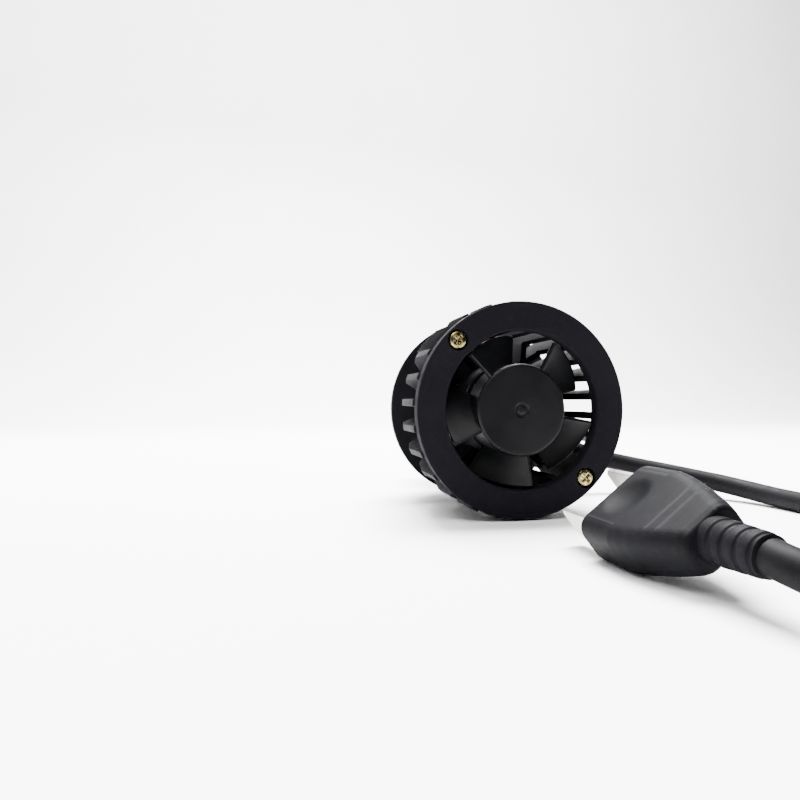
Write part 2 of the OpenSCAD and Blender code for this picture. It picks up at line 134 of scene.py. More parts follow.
# The cord's centre line, in metres, from the grommet to the plug's relief
CORD_ROUTE = (
    (0.02726, -0.004, 0.01294), (0.0315, -0.004, 0.0113), (0.0365, -0.0044, 0.0097),
    (0.042, -0.006, 0.0084), (0.0475, -0.009, 0.0072), (0.0528, -0.013, 0.0061),
    (0.0576, -0.0176, 0.005), (0.0614, -0.0224, 0.0041), (0.0638, -0.0278, 0.0033),
    (0.065, -0.0338, 0.0027), (0.0654, -0.040, 0.0024), (0.0655, -0.049, 0.0023),
    (0.0655, -0.061, 0.0023), (0.0655, -0.075, 0.0023), (0.0655, -0.089, 0.0023),
    (0.0653, -0.099, 0.0023), (0.0634, -0.109, 0.0023), (0.0586, -0.118, 0.0023),
    (0.0515, -0.125, 0.0023), (0.043, -0.129, 0.0023), (0.034, -0.1298, 0.0023),
    (0.025, -0.128, 0.0024), (0.017, -0.1238, 0.0029), (0.0104, -0.118, 0.0041),
    (0.0062, -0.1116, 0.0057), (0.0044, -0.1066, 0.0069), (0.0041, -0.103, 0.00744))


def turned(phi):
    """Turn about the bulb's axis, anticlockwise as seen from the fan end."""
    return Matrix.Rotation(math.radians(-phi), 4, "Z")


# The bulb's own Z is the distance from the fan face, and the plug's own Z runs back from its face
BULB = (Matrix.Translation((0, FAN_FACE, AXIS_Z)) @ Matrix.Rotation(math.radians(-90), 4, "X")
        @ Matrix.Scale(MM, 4))
PLUG = (Matrix.Translation(PLUG_PLACE) @ Matrix.Rotation(math.radians(90), 4, "X")
        @ Matrix.Rotation(math.radians(PLUG_ROLL), 4, "Z") @ Matrix.Scale(MM, 4))
OUTLET_TURN = (turned(OUTLET_PHI) @ Matrix.Translation((0, 0, OUTLET_T))
               @ Matrix.Rotation(math.radians(90), 4, "Y"))
OUTLET = BULB @ OUTLET_TURN


# ---------------------------------------------------------------- camera

def stand_camera():
    data = bpy.data.cameras.new("camera")
    data.lens = 28.8
    data.sensor_width = 36
    data.clip_start = 0.005
    camera = bpy.data.objects.new("camera", data)
    camera.location = (-0.05272, -0.16655, 0.02555)
    camera.rotation_euler = (math.radians(90), 0, math.radians(-11.67))
    bpy.context.scene.collection.objects.link(camera)
    bpy.context.scene.camera = camera


stand_camera()


# ---------------------------------------------------------------- materials

def linear(hex_colour):
    """An sRGB hex colour as a linear colour."""
    values = [int(hex_colour[i:i + 2], 16) / 255 for i in (1, 3, 5)]
    return [v / 12.92 if v <= 0.04045 else ((v + 0.055) / 1.055) ** 2.4 for v in values] + [1]


def add_node(tree, kind, settings, links):
    """Add a shader node, set its properties, inputs and ramp stops, and feed its inputs."""
    node = tree.nodes.new("ShaderNode" + kind)
    for name, value in settings.items():
        if name == "stops":
            node.color_ramp.elements[0].position, node.color_ramp.elements[0].color = value[0]
            node.color_ramp.elements[1].position, node.color_ramp.elements[1].color = value[-1]
            for position, colour in value[1:-1]:
                node.color_ramp.elements.new(position).color = colour
        elif hasattr(node, name):
            setattr(node, name, value)
        else:
            node.inputs[name].default_value = value
    for name, output in links.items():
        tree.links.new(output, node.inputs[name])
    return node


def new_surface(name, **sockets):
    """A surface whose even values sit on the shader's own sockets, and its place on the piece."""
    material = bpy.data.materials.new(name)
    material.use_nodes = True
    tree = material.node_tree
    shader = tree.nodes["Principled BSDF"]
    for socket, value in sockets.items():
        shader.inputs[socket.replace("_", " ")].default_value = value
    place = add_node(tree, "TexCoord", {}, {}).outputs["Object"]
    return material, tree, shader, place


def patchy_colour(tree, shader, place, patch, dark, light):
    """Let the colour drift between two shades over patches of that size in mm."""
    noise = add_node(tree, "TexNoise", {"Scale": 1 / (patch * MM), "Detail": 3}, {"Vector": place})
    ramp = add_node(tree, "ValToRGB", {"stops": [(0.3, linear(dark)), (0.7, linear(light))]},
                    {"Fac": noise.outputs["Fac"]})
    tree.links.new(ramp.outputs["Color"], shader.inputs["Base Color"])


def patchy_gloss(tree, shader, place, patch, smooth, rough):
    """Let the roughness drift between two values over patches of that size in mm."""
    noise = add_node(tree, "TexNoise", {"Scale": 1 / (patch * MM), "Detail": 4}, {"Vector": place})
    spread = add_node(tree, "MapRange", {"From Min": 0.3, "From Max": 0.7, "To Min": smooth,
                                         "To Max": rough}, {"Value": noise.outputs["Fac"]})
    tree.links.new(spread.outputs["Result"], shader.inputs["Roughness"])


def grain(tree, shader, place, size, height, stretch=(1, 1, 1)):
    """Raise a grain of that size and height in mm over the surface."""
    scaled = add_node(tree, "Mapping", {"Scale": stretch}, {"Vector": place})
    noise = add_node(tree, "TexNoise", {"Scale": 1 / (size * MM), "Detail": 3},
                     {"Vector": scaled.outputs["Vector"]})
    bump = add_node(tree, "Bump", {"Distance": height * MM}, {"Height": noise.outputs["Fac"]})
    tree.links.new(bump.outputs["Normal"], shader.inputs["Normal"])


def moulded_abs_fine_grain():
    # Spark-eroded mould: an even, matte black with a fine grain that catches a little light
    material, tree, shader, place = new_surface("moulded_abs_fine_grain", IOR=1.5,
                                                Specular_IOR_Level=0.04)
    patchy_colour(tree, shader, place, 9, "#0b0a0e", "#0e0d11")
    patchy_gloss(tree, shader, place, 5, 0.78, 0.88)
    grain(tree, shader, place, 0.35, 0.03)
    return material


def moulded_pbt_satin():
    # Polished fan mould: smoother than the cover, so blades carry a soft grey highlight
    material, tree, shader, place = new_surface("moulded_pbt_satin", IOR=1.5,
                                                Specular_IOR_Level=0.1)
    patchy_colour(tree, shader, place, 7, "#060608", "#09090b")
    patchy_gloss(tree, shader, place, 4, 0.34, 0.44)
    grain(tree, shader, place, 0.5, 0.012)
    return material


def black_anodised_die_casting():
    # Dyed oxide over tumbled die-cast aluminium: near black, glossy at a glancing angle
    material, tree, shader, place = new_surface("black_anodised_die_casting", IOR=1.5,
                                                Specular_IOR_Level=0.06)
    patchy_colour(tree, shader, place, 6, "#09090c", "#0e0e12")
    patchy_gloss(tree, shader, place, 3, 0.68, 0.8)
    grain(tree, shader, place, 0.4, 0.008)
    return material


def turned_aluminium_satin():
    # Lathe-turned ring with clear anodising: pale, with fine rings round its axis
    material, tree, shader, place = new_surface("turned_aluminium_satin", Metallic=1)
    patchy_colour(tree, shader, place, 5, "#8e9095", "#a2a4a8")
    patchy_gloss(tree, shader, place, 3, 0.24, 0.36)
    centred = add_node(tree, "Mapping", {"Location": (0, 0, -AXIS_Z)}, {"Vector": place})
    rings = add_node(tree, "TexWave", {"wave_type": "RINGS", "rings_direction": "Y",
                                       "Scale": 1 / (0.3 * MM) / 20, "Distortion": 0.6},
                     {"Vector": centred.outputs["Vector"]})
    bump = add_node(tree, "Bump", {"Distance": 0.008 * MM}, {"Height": rings.outputs["Fac"]})
    tree.links.new(bump.outputs["Normal"], shader.inputs["Normal"])
    return material


def milled_aluminium_bar():
    # Milled bar: long fine cutter marks across the flats
    material, tree, shader, place = new_surface("milled_aluminium_bar", Metallic=1)
    patchy_colour(tree, shader, place, 4, "#888a8f", "#9c9ea2")
    patchy_gloss(tree, shader, place, 2, 0.26, 0.4)
    grain(tree, shader, place, 0.3, 0.01, (1, 0.05, 1))
    return material


def yellow_passivated_zinc_plate():
    # Chromate over zinc: brassy yellow that drifts towards olive and straw
    material, tree, shader, place = new_surface("yellow_passivated_zinc_plate", Metallic=1)
    noise = add_node(tree, "TexNoise", {"Scale": 1 / (0.9 * MM), "Detail": 4}, {"Vector": place})
    ramp = add_node(tree, "ValToRGB", {"stops": [
        (0.3, linear("#4a4328")), (0.5, linear("#857a52")), (0.7, linear("#b0a684"))]},
        {"Fac": noise.outputs["Fac"]})
    tree.links.new(ramp.outputs["Color"], shader.inputs["Base Color"])
    patchy_gloss(tree, shader, place, 0.7, 0.16, 0.34)
    grain(tree, shader, place, 0.25, 0.012)
    return material


def bright_steel():
    # Drawn and tumbled steel: cool grey with fine handling marks
    material, tree, shader, place = new_surface("bright_steel", Metallic=1)
    patchy_colour(tree, shader, place, 2, "#a3a5a9", "#b9bbbf")
    patchy_gloss(tree, shader, place, 1.5, 0.22, 0.38)
    grain(tree, shader, place, 0.2, 0.008)
    return material


def sintered_ferrite():
    # Pressed magnet powder: dull charcoal with a gritty surface
    material, tree, shader, place = new_surface("sintered_ferrite", IOR=1.6)
    patchy_colour(tree, shader, place, 1.2, "#2b2a2a", "#3a3838")
    patchy_gloss(tree, shader, place, 1, 0.55, 0.75)
    grain(tree, shader, place, 0.15, 0.02)
    return material


def sintered_bronze():
    # Oil-filled bearing bronze: warm brown metal, open pores
    material, tree, shader, place = new_surface("sintered_bronze", Metallic=1)
    patchy_colour(tree, shader, place, 0.8, "#9a6b3a", "#bd8a54")
    patchy_gloss(tree, shader, place, 0.6, 0.35, 0.55)
    grain(tree, shader, place, 0.15, 0.02)
    return material


def enamelled_copper_winding():
    # Close turns of 0.25 mm wire under clear enamel, drawn as ridges along the coil
    material, tree, shader, place = new_surface("enamelled_copper_winding", Metallic=1,
                                                Coat_Weight=0.6)
    patchy_colour(tree, shader, place, 0.8, "#a6562a", "#c77a45")
    turns = add_node(tree, "TexWave", {"bands_direction": "DIAGONAL", "Scale": 1 / (0.25 * MM) / 20,
                                       "Distortion": 0.5}, {"Vector": place})
    bump = add_node(tree, "Bump", {"Distance": 0.08 * MM}, {"Height": turns.outputs["Fac"]})
    tree.links.new(bump.outputs["Normal"], shader.inputs["Normal"])
    patchy_gloss(tree, shader, place, 0.6, 0.2, 0.32)
    return material


def solder_masked_board():
    # Green mask over glass cloth: glossy, with the weave just showing
    material, tree, shader, place = new_surface("solder_masked_board", IOR=1.55)
    cells = add_node(tree, "TexVoronoi", {"Scale": 1 / (1.4 * MM)}, {"Vector": place})
    ramp = add_node(tree, "ValToRGB", {"stops": [
        (0.0, linear("#1c6b3c")), (0.35, linear("#12502b")), (1.0, linear("#0e4324"))]},
        {"Fac": cells.outputs["Distance"]})
    tree.links.new(ramp.outputs["Color"], shader.inputs["Base Color"])
    patchy_gloss(tree, shader, place, 2, 0.2, 0.34)
    grain(tree, shader, place, 0.4, 0.01)
    return material


def moulded_epoxy_package():
    # Dark filled epoxy: satin black with a fine ejector grain
    material, tree, shader, place = new_surface("moulded_epoxy_package", IOR=1.55)
    patchy_colour(tree, shader, place, 1.5, "#17171a", "#232327")
    patchy_gloss(tree, shader, place, 1, 0.4, 0.55)
    grain(tree, shader, place, 0.15, 0.01)
    return material


def shrunk_pvc_sleeve():
    # Plain sleeve shrunk over a can: glossy dark blue, slightly wrinkled
    material, tree, shader, place = new_surface("shrunk_pvc_sleeve", IOR=1.53)
    patchy_colour(tree, shader, place, 2, "#23284f", "#2d3463")
    patchy_gloss(tree, shader, place, 1.5, 0.2, 0.34)
    grain(tree, shader, place, 1.1, 0.02)
    return material


def extruded_wire_insulation(name, dark, light):
    # Thin extruded PVC: even colour, smooth, faint draw lines along the wire
    material, tree, shader, place = new_surface(name, IOR=1.53)
    patchy_colour(tree, shader, place, 2, dark, light)
    patchy_gloss(tree, shader, place, 1, 0.28, 0.4)
    grain(tree, shader, place, 0.2, 0.008, (1, 0.1, 1))
    return material


def brushed_copper_board():
    # Bare copper-core board, brushed along its length and slightly tarnished
    material, tree, shader, place = new_surface("brushed_copper_board", Metallic=1)
    patchy_colour(tree, shader, place, 3, "#b57445", "#d39a68")
    patchy_gloss(tree, shader, place, 1.5, 0.24, 0.4)
    grain(tree, shader, place, 0.18, 0.012, (1, 0.06, 1))
    return material


def phosphor_silicone():
    # Cast silicone full of yellow phosphor: soft, slightly waxy, light goes a little way in
    material, tree, shader, place = new_surface("phosphor_silicone", IOR=1.41,
                                                Subsurface_Weight=0.25, Subsurface_Scale=0.0004)
    patchy_colour(tree, shader, place, 0.5, "#e0c02c", "#f4df5e")
    patchy_gloss(tree, shader, place, 0.4, 0.32, 0.5)
    grain(tree, shader, place, 0.12, 0.01)
    return material


def moulded_silicone_rubber():
    # Brick-red silicone: dull, with a trace of talc
    material, tree, shader, place = new_surface("moulded_silicone_rubber", IOR=1.41)
    patchy_colour(tree, shader, place, 3, "#641f17", "#742b21")
    patchy_gloss(tree, shader, place, 1.5, 0.5, 0.66)
    grain(tree, shader, place, 0.3, 0.015)
    return material


def extruded_pvc_jacket():
    # Cord jacket: smooth black PVC, wavy at the scale of the cores inside, soft long highlight
    material, tree, shader, place = new_surface("extruded_pvc_jacket", IOR=1.5,
                                                Specular_IOR_Level=0.04)
    patchy_colour(tree, shader, place, 8, "#08080a", "#0b0b0d")
    patchy_gloss(tree, shader, place, 4, 0.5, 0.62)
    grain(tree, shader, place, 1.6, 0.03)
    return material


def soft_moulded_pvc():
    # Over-moulded PVC: dark grey, soft matte, with a fine eroded texture
    material, tree, shader, place = new_surface("soft_moulded_pvc", IOR=1.5,
                                                Specular_IOR_Level=0.03)
    patchy_colour(tree, shader, place, 6, "#09090b", "#0d0d10")
    patchy_gloss(tree, shader, place, 4, 0.5, 0.6)
    grain(tree, shader, place, 0.4, 0.02)
    return material


def tin_plated_brass():
    # Bright tin over brass strip: near white, rolled lines along the blade
    material, tree, shader, place = new_surface("tin_plated_brass", Metallic=1)
    patchy_colour(tree, shader, place, 3, "#aaa8a2", "#c2c0ba")
    patchy_gloss(tree, shader, place, 2, 0.3, 0.42)
    grain(tree, shader, place, 0.5, 0.002, (1, 0.08, 1))
    return material


def sweep_paper():
    # Matte white background paper
    material, tree, shader, place = new_surface("sweep_paper", Roughness=0.9)
    patchy_colour(tree, shader, place, 60, "#f4f4f5", "#f7f7f7")
    return material


# ---------------------------------------------------------------- tools for shapes

def lathe(outline, segments=96):
    """Spin an outline of (radius, distance) points about Z."""
    bm = bmesh.new()
    verts = [bm.verts.new((r, 0, z)) for r, z in outline]
    ends = list(zip(verts, verts[1:]))
    if outline[0][0] > 0:
        ends.append((verts[-1], verts[0]))
    edges = [bm.edges.new(pair) for pair in ends]
    bmesh.ops.spin(bm, geom=verts + edges, cent=(0, 0, 0), axis=(0, 0, 1), dvec=(0, 0, 0),
                   angle=math.tau, steps=segments, use_merge=True, use_duplicate=False)
    tidy(bm)
    return bm


def tidy(bm):
    bmesh.ops.remove_doubles(bm, verts=bm.verts, dist=0.001)
    bmesh.ops.dissolve_degenerate(bm, edges=bm.edges, dist=0.0005)
    bmesh.ops.recalc_face_normals(bm, faces=bm.faces)


def arc(centre, radius, start, end, steps=5):
    """Points of an arc in (radius, distance), from one angle to another in degrees."""
    angles = [math.radians(start + (end - start) * i / steps) for i in range(steps + 1)]
    return [(centre[0] + radius * math.cos(a), centre[1] + radius * math.sin(a)) for a in angles]


def add_drum(bm, radius, z0, z1, at=Matrix.Identity(4), segments=48):
    """Add a cylinder between two distances along its own axis."""
    bmesh.ops.create_cone(bm, cap_ends=True, segments=segments, radius1=radius, radius2=radius,
                          depth=z1 - z0, matrix=at @ Matrix.Translation((0, 0, (z0 + z1) / 2)))


def add_block(bm, low, high, at=Matrix.Identity(4)):
    """Add a box between two corners, and give back its points."""
    low, high = Vector(low), Vector(high)
    shape = at @ Matrix.Translation((low + high) / 2) @ Matrix.Diagonal((*(high - low), 1))
    return bmesh.ops.create_cube(bm, size=1, matrix=shape)["verts"]


def add_plate(bm, outline, z0, z1, at=Matrix.Identity(4)):
    """Add a flat outline of (x, y) points, drawn up from z0 to z1, and give back its points."""
    verts = [bm.verts.new((x, y, z0)) for x, y in outline]
    bottom = bm.faces.new(verts)
    raised = bmesh.ops.extrude_face_region(bm, geom=[bottom], use_keep_orig=True)["geom"]
    top = [v for v in raised if isinstance(v, bmesh.types.BMVert)]
    bmesh.ops.translate(bm, verts=top, vec=(0, 0, z1 - z0))
    bmesh.ops.transform(bm, matrix=at, verts=verts + top)
    return verts + top


def add_mesh(bm, other):
    """Move one shape into another."""
    mesh = bpy.data.meshes.new("part")
    other.to_mesh(mesh)
    other.free()
    bm.from_mesh(mesh)
    bpy.data.meshes.remove(mesh)


def combine(bm, tool, operation):
    """Cut a tool out of a shape, or keep only what lies in it, and drop the tool."""
    solids = []
    for name, shape in (("shape", bm), ("tool", tool)):
        shape.normal_update()
        solid = bpy.data.objects.new(name, bpy.data.meshes.new(name))
        shape.to_mesh(solid.data)
        bpy.context.scene.collection.objects.link(solid)
        solids.append(solid)
    modifier = solids[0].modifiers.new("combine", "BOOLEAN")
    modifier.operation = operation
    modifier.solver = "EXACT"
    modifier.object = solids[1]
    bpy.context.view_layer.update()
    result = solids[0].evaluated_get(bpy.context.evaluated_depsgraph_get()).to_mesh()
    bm.clear()
    bm.from_mesh(result)
    tool.free()
    for solid in solids:
        mesh = solid.data
        bpy.data.objects.remove(solid)
        bpy.data.meshes.remove(mesh)
    bmesh.ops.remove_doubles(bm, verts=bm.verts, dist=0.001)
    bmesh.ops.dissolve_limit(bm, angle_limit=math.radians(0.5), verts=bm.verts, edges=bm.edges)


def soften(bm, width, segments=2, angle=35):
    """Round every edge sharper than an angle."""
    bm.normal_update()
    sharp = [e for e in bm.edges if e.is_manifold and e.calc_face_angle(0) > math.radians(angle)]
    bmesh.ops.bevel(bm, geom=sharp, offset=width, offset_type="OFFSET", affect="EDGES",
                    segments=segments, profile=0.5, material=-1, clamp_overlap=True)


def cad_copy(node, width, segments=2, angle=35):
    """A CAD node's shape in millimetres, merged, with its sharp edges rounded."""
    bm = bmesh.new()
    bm.from_mesh(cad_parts[node].data)
    bmesh.ops.scale(bm, vec=(1 / MM,) * 3, verts=bm.verts)
    bmesh.ops.remove_doubles(bm, verts=bm.verts, dist=0.0005)
    bmesh.ops.dissolve_limit(bm, angle_limit=math.radians(1), verts=bm.verts, edges=bm.edges)
    soften(bm, width, segments, angle)
    return bm


def finished(bm, name, nodes, material, place, body="root"):
    """Make an object of a shape, in place on its body, standing for its CAD nodes."""
    bm.transform(place)
    bmesh.ops.recalc_face_normals(bm, faces=bm.faces)
    mesh = bpy.data.meshes.new(name)
    bm.to_mesh(mesh)
    bm.free()
    mesh.shade_smooth()
    mesh.set_sharp_from_angle(angle=math.radians(42))
    mesh.materials.append(material)
    piece = bpy.data.objects.new(name, mesh)
    bpy.context.scene.collection.objects.link(piece)
    weigh = piece.modifiers.new("even_shading", "WEIGHTED_NORMAL")
    weigh.keep_sharp = True
    weigh.weight = 100
    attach(piece, body)
    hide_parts(*nodes)
    return piece


# ---------------------------------------------------------------- fan cover and screws

def fan_cover():
    edge, lip = 0.15, 0.3
    bm = lathe([(INLET_R + lip, 0), (RING_R - edge, 0), (RING_R, edge), (RING_R, RING_T),
                (INLET_R, RING_T), (INLET_R, lip)], 128)
    pockets = bmesh.new()
    for phi in SCREW_PHIS:
        at = turned(phi) @ Matrix.Translation((SCREW_CIRCLE_R, 0, 0))
        add_drum(pockets, SCREW_POCKET_R, -1, 1.3, at)
        add_drum(pockets, 1.2, 1, RING_T + 1, at)
    combine(bm, pockets, "DIFFERENCE")
    soften(bm, 0.1, 2, 30)
    return bm


def screw(head_r, head_h, shank_r, length):
    """A pan-head screw with a cross recess, its head at 0 and its shank along Z."""
    bm = lathe([(0, 0), (head_r * 0.62, 0.04), (head_r * 0.86, 0.2), (head_r, 0.62 * head_h),
                (head_r, head_h), (shank_r, head_h), (shank_r, length - shank_r), (0, length)], 40)
    tip, side = 1.25, 0.34
    cross = [(tip, side), (side, side), (side, tip), (-side, tip), (-side, side), (-tip, side),
             (-tip, -side), (-side, -side), (-side, -tip), (side, -tip), (side, -side), (tip, -side)]
    recess = bmesh.new()
    corners = add_plate(recess, cross, -0.3, 0.8)
    deep = [v for v in corners if v.co.z > 0]
    bmesh.ops.scale(recess, vec=(0.65, 0.65, 1), verts=deep)
    bmesh.ops.recalc_face_normals(recess, faces=recess.faces)
    combine(bm, recess, "DIFFERENCE")
    soften(bm, 0.06, 2, 40)
    return bm


def cover_screws():
    bm = bmesh.new()
    for phi in SCREW_PHIS:
        one = screw(2, 1.2, 1, 9)
        one.transform(turned(phi) @ Matrix.Translation((SCREW_CIRCLE_R, 0, 0.1)))
        add_mesh(bm, one)
    return bm


# ---------------------------------------------------------------- fan

def fan_blade():
    """A curved blade, wound clockwise about the axis as it goes deeper."""
    bm = bmesh.new()
    spans, steps, thick = 6, 18, 1.1
    root = HUB_R - 0.6
    verts = [bm.verts.new((root + (BLADE_TIP_R - root) * i / spans, -thick / 2, BLADE_START))
             for i in range(spans + 1)]
    row = [bm.edges.new(pair) for pair in zip(verts, verts[1:])]
    for _ in range(steps):
        grown = bmesh.ops.extrude_edge_only(bm, edges=row)["geom"]
        row = [g for g in grown if isinstance(g, bmesh.types.BMEdge)]
        moved = [g for g in grown if isinstance(g, bmesh.types.BMVert)]
        bmesh.ops.translate(bm, verts=moved, vec=(0, 0, (BLADE_END - BLADE_START) / steps))
        bmesh.ops.rotate(bm, verts=moved, cent=(0, 0, 0),
                         matrix=Matrix.Rotation(math.radians(BLADE_TWIST / steps), 3, "Z"))
    bmesh.ops.recalc_face_normals(bm, faces=bm.faces)
    bmesh.ops.solidify(bm, geom=bm.faces[:], thickness=thick)
    soften(bm, 0.3, 3, 50)
    return bm


def impeller():
    dome = HUB_FACE
    bm = lathe([(0, dome + 0.15), (0.7, dome + 0.15), (0.9, dome + 0.3), (1.5, dome + 0.3),
                (1.7, dome)] + arc((HUB_R - 0.7, dome + 0.7), 0.7, -90, 0)
               + [(HUB_R, 8.2), (HUB_R - 0.8, 8.2), (HUB_R - 0.8, dome + 1.3), (0, dome + 1.3)], 96)
    soften(bm, 0.08, 2, 30)
    for i in range(BLADE_COUNT):
        blade = fan_blade()
        blade.transform(turned(BLADE_PHI + i * 360 / BLADE_COUNT))
        add_mesh(bm, blade)
    return bm


# ---------------------------------------------------------------- heatsink

def vane_pair():
    """Two vanes forked from one stem, pointing along X."""
    half = math.radians(SLOT_PITCH / 2)
    upper = []
    for r, side in ((PRONG_R, -1), (VANE_R, -1), (VANE_R, 1), (PRONG_R, 1)):
        upper.append((r * math.cos(half) - side * VANE_T / 2 * math.sin(half),
                      r * math.sin(half) + side * VANE_T / 2 * math.cos(half)))
    stem = [(CORE_R - 1, STEM_W / 2), (FORK_R - 0.4, STEM_W / 2)]
    fork = [(FORK_R + 1.0, 0)]
    left = list(reversed(upper))
    outline = ([(x, -y) for x, y in reversed(stem)][::-1] + [(x, -y) for x, y in left]
               + fork + upper + stem[::-1])
    bm = bmesh.new()
    add_plate(bm, outline, RING_T, VANE_END)
    for side in (-1, 1):
        along = Vector((math.cos(half), side * math.sin(half), 0))
        for (r0, t0), (r1, t1) in zip(VANE_SLOPE, VANE_SLOPE[1:]):
            normal = along * (t1 - t0) + Vector((0, 0, r0 - r1))
            cut = bmesh.ops.bisect_plane(bm, geom=bm.verts[:] + bm.edges[:] + bm.faces[:],
                                         plane_co=along * r0 + Vector((0, 0, t0)),
                                         plane_no=normal, clear_outer=True)["geom_cut"]
            rim = [g for g in cut if isinstance(g, bmesh.types.BMEdge)]
            bmesh.ops.holes_fill(bm, edges=rim)
    tidy(bm)
    pocket = bmesh.new()
    add_drum(pocket, POCKET_R, -1, POCKET_END, segments=96)
    combine(bm, pocket, "DIFFERENCE")
    return bm


def screw_boss():
    """A sector that fills one slot of the heatsink, pointing along X, with its rib."""
    bm = bmesh.new()
    outline = [(POCKET_R, RING_T), (VANE_R, RING_T), *VANE_SLOPE[:3], (POCKET_R, VANE_CORNER_T)]
    verts = [bm.verts.new((r, 0, t)) for r, t in outline]
    bmesh.ops.rotate(bm, verts=verts, cent=(0, 0, 0),
                     matrix=Matrix.Rotation(math.radians(-BOSS_OFFSET - BOSS_HALF), 3, "Z"))
    face = bm.faces.new(verts)
    bmesh.ops.spin(bm, geom=[face], cent=(0, 0, 0), axis=(0, 0, 1), dvec=(0, 0, 0),
                   angle=math.radians(2 * BOSS_HALF), steps=8, use_merge=False,
                   use_duplicate=True)
    tidy(bm)
    hole = bmesh.new()
    add_drum(hole, TAP_R, -1, TAP_END, Matrix.Translation((SCREW_CIRCLE_R, 0, 0)))
    combine(bm, hole, "DIFFERENCE")
    add_block(bm, (CORE_R - 1, -2, POCKET_END), (POCKET_R + 1, 2, VANE_END))
    return bm


def heatsink():
    bm = bmesh.new()
    for phi in SCREW_PHIS:
        for k in range((VANE_SLOTS - 2) // 4):
            pair = vane_pair()
            pair.transform(turned(phi + (2 * k + 1.5) * SLOT_PITCH))
            add_mesh(bm, pair)
        boss = screw_boss()
        boss.transform(turned(phi))
        add_mesh(bm, boss)
    soften(bm, 0.18, 2, 35)
    core = lathe([(0, CORE_START), (CORE_R, CORE_START), (CORE_R, VANE_END), (PLATE_R, VANE_END),
                  (PLATE_R, PLATE_END), (CORE_BORE_R, PLATE_END), (CORE_BORE_R, CORE_BORE_START),
                  (0, CORE_BORE_START)], 128)
    gland = bmesh.new()
    add_drum(gland, GLAND_R, HOUSING_R - 0.2, PLATE_R + 1, OUTLET_TURN)
    combine(core, gland, "DIFFERENCE")
    soften(core, 0.2, 2, 35)
    add_mesh(bm, core)
    return bm


# ---------------------------------------------------------------- driver housing

def driver_housing():
    front = HOUSING_END
    wall = HOUSING_WALL
    bm = lathe([(HOUSING_BORE_R, NECK_BOSS_END), (HOUSING_BORE_R, front - wall),
                (HOUSING_R - wall, front - wall), (HOUSING_R - wall, PLATE_END + 0.02),
                (HOUSING_R, PLATE_END + 0.02)]
               + arc((HOUSING_R - 1.4, front - 1.4), 1.4, 0, 90)
               + [(NECK_R, front), (NECK_R, SEAL_T - 1.05)]
               + arc((NECK_R, SEAL_T), 1.05, -90, -270, 8)[1:-1]
               + [(NECK_R, SEAL_T + 1.05), (NECK_R, NECK_END), (NECK_BOSS_R, NECK_END),
                  (NECK_BOSS_R, NECK_BOSS_END)], 128)
    holes = bmesh.new()
    for phi in HOUSING_SCREW_PHIS:
        at = turned(phi) @ Matrix.Translation((HOUSING_SCREW_R, 0, 0))
        add_drum(holes, 2.1, front - 1, front + 1, at)
        add_drum(holes, 0.8, front - 3, front, at)
    add_drum(holes, OUTLET_R, 15, 30, OUTLET_TURN)
    combine(bm, holes, "DIFFERENCE")
    soften(bm, 0.22, 2, 35)
    for phi in LUG_PHIS:
        lug = bmesh.new()
        verts = [lug.verts.new((r, 0, t)) for r, t in
                 ((9.5, LUG_START), (LUG_R, LUG_START), (LUG_R, LUG_END), (9.5, LUG_END))]
        face = lug.faces.new(verts)
        lug.transform(turned(phi + LUG_HALF))
        bmesh.ops.spin(lug, geom=[face], cent=(0, 0, 0), axis=(0, 0, 1), dvec=(0, 0, 0),
                       angle=math.radians(2 * LUG_HALF), steps=8, use_merge=False, use_duplicate=True)
        tidy(lug)
        soften(lug, 0.15, 2, 35)
        add_mesh(bm, lug)
    return bm


def housing_screws():
    bm = bmesh.new()
    for phi in HOUSING_SCREW_PHIS:
        one = screw(1.9, 0.9, 0.7, 9.6)
        one.transform(turned(phi) @ Matrix.Translation((HOUSING_SCREW_R, 0, HOUSING_END - 0.1))
                      @ Matrix.Rotation(math.pi, 4, "X"))
        add_mesh(bm, one)
    return bm


def neck_seal():
    return lathe(arc((NECK_R, SEAL_T), 1.08, 0, 345, 23), 96)


# ---------------------------------------------------------------- cord, grommet and plug

def cable_grommet():
    """A moulded bush with a head and a ribbed tail, its axis along Z from the bulb's axis."""
    outline = [(0, 17.2), (3.25, 17.2), (3.25, 18.6), (2.9, 18.6), (2.9, HOUSING_R + 0.1)]
    outline += arc((3.9, HOUSING_R + 0.6), 0.5, -90, 0) + arc((3.7, HOUSING_R + 1.1), 0.5, 0, 90)
    tail_start, tail_end = HOUSING_R + 1.6, GROMMET_END
    ribs = 4
    pitch = (tail_end - tail_start) / ribs
    for i in range(ribs):
        t = tail_start + i * pitch
        r = 3.75 - 0.95 * i / ribs
        outline += [(r - 0.05, t + 0.1 * pitch), (r, t + 0.2 * pitch), (r - 0.1, t + 0.68 * pitch),
                    (r - 0.3, t + 0.78 * pitch), (r - 0.3, t + 0.94 * pitch)]
    outline += [(2.75, tail_end), (0, tail_end)]
    bm = lathe(outline, 64)
    soften(bm, 0.1, 2, 35)
    return bm


def rounded_rectangle(width, height, radius, steps=6):
    """Points round a rectangle with round corners, anticlockwise."""
    points = []
    for sx, sy, start in ((1, 1, 0), (-1, 1, 90), (-1, -1, 180), (1, -1, 270)):
        centre = (sx * (width / 2 - radius), sy * (height / 2 - radius))
        points += arc(centre, radius, start, start + 90, steps)
    return points


